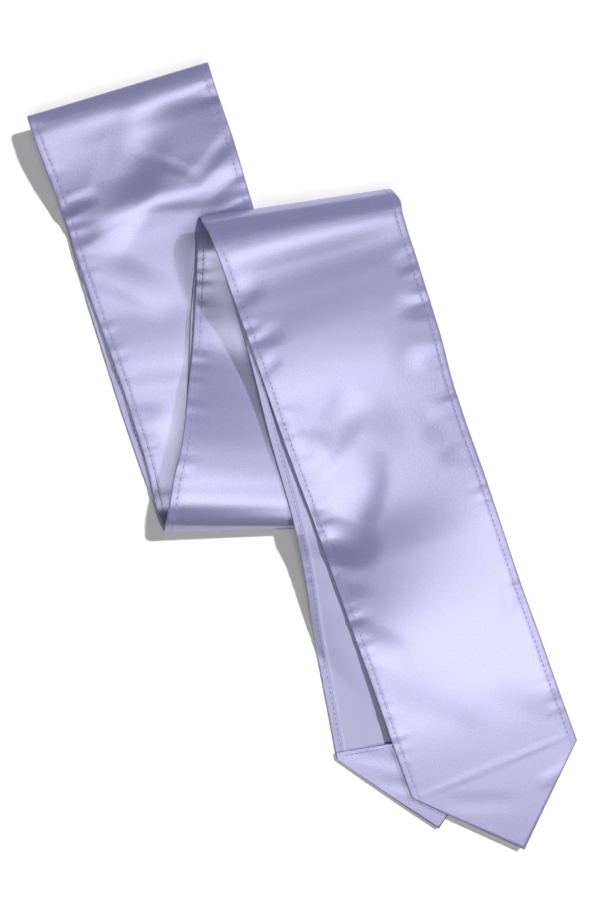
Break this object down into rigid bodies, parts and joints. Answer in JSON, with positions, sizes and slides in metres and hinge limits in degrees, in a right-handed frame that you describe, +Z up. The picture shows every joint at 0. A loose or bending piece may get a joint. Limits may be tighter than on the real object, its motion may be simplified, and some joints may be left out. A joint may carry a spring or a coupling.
{
  "type": "satin sash",
  "caption": "Long narrow satin sash with pointed ends, folded in half end to end and laid in a zigzag of doubled runs on a flat surface.",
  "frame": {"origin": "on the surface that the folded sash lies on, under the middle of its bounding box", "axes": "+Z up from the surface, +Y towards the upper fold and the fold at the sash's middle, +X to the right with the runs side by side"},
  "size_m": [0.3021, 0.4424, 0.0333],
  "materials": {
    "satin": "lavender satin, shiny right side",
    "satin_wrong_side": "lavender satin, matte wrong side"
  },
  "bodies": {
    "root": {"first_run_upper": "satin", "first_run_under": "satin", "middle_run_under": "satin", "middle_run_upper": "satin", "front_run_upper": "satin", "front_run_under": "satin", "upper_point_facing": "satin_wrong_side", "under_point_facing": "satin_wrong_side"}
  },
  "joints": []
}
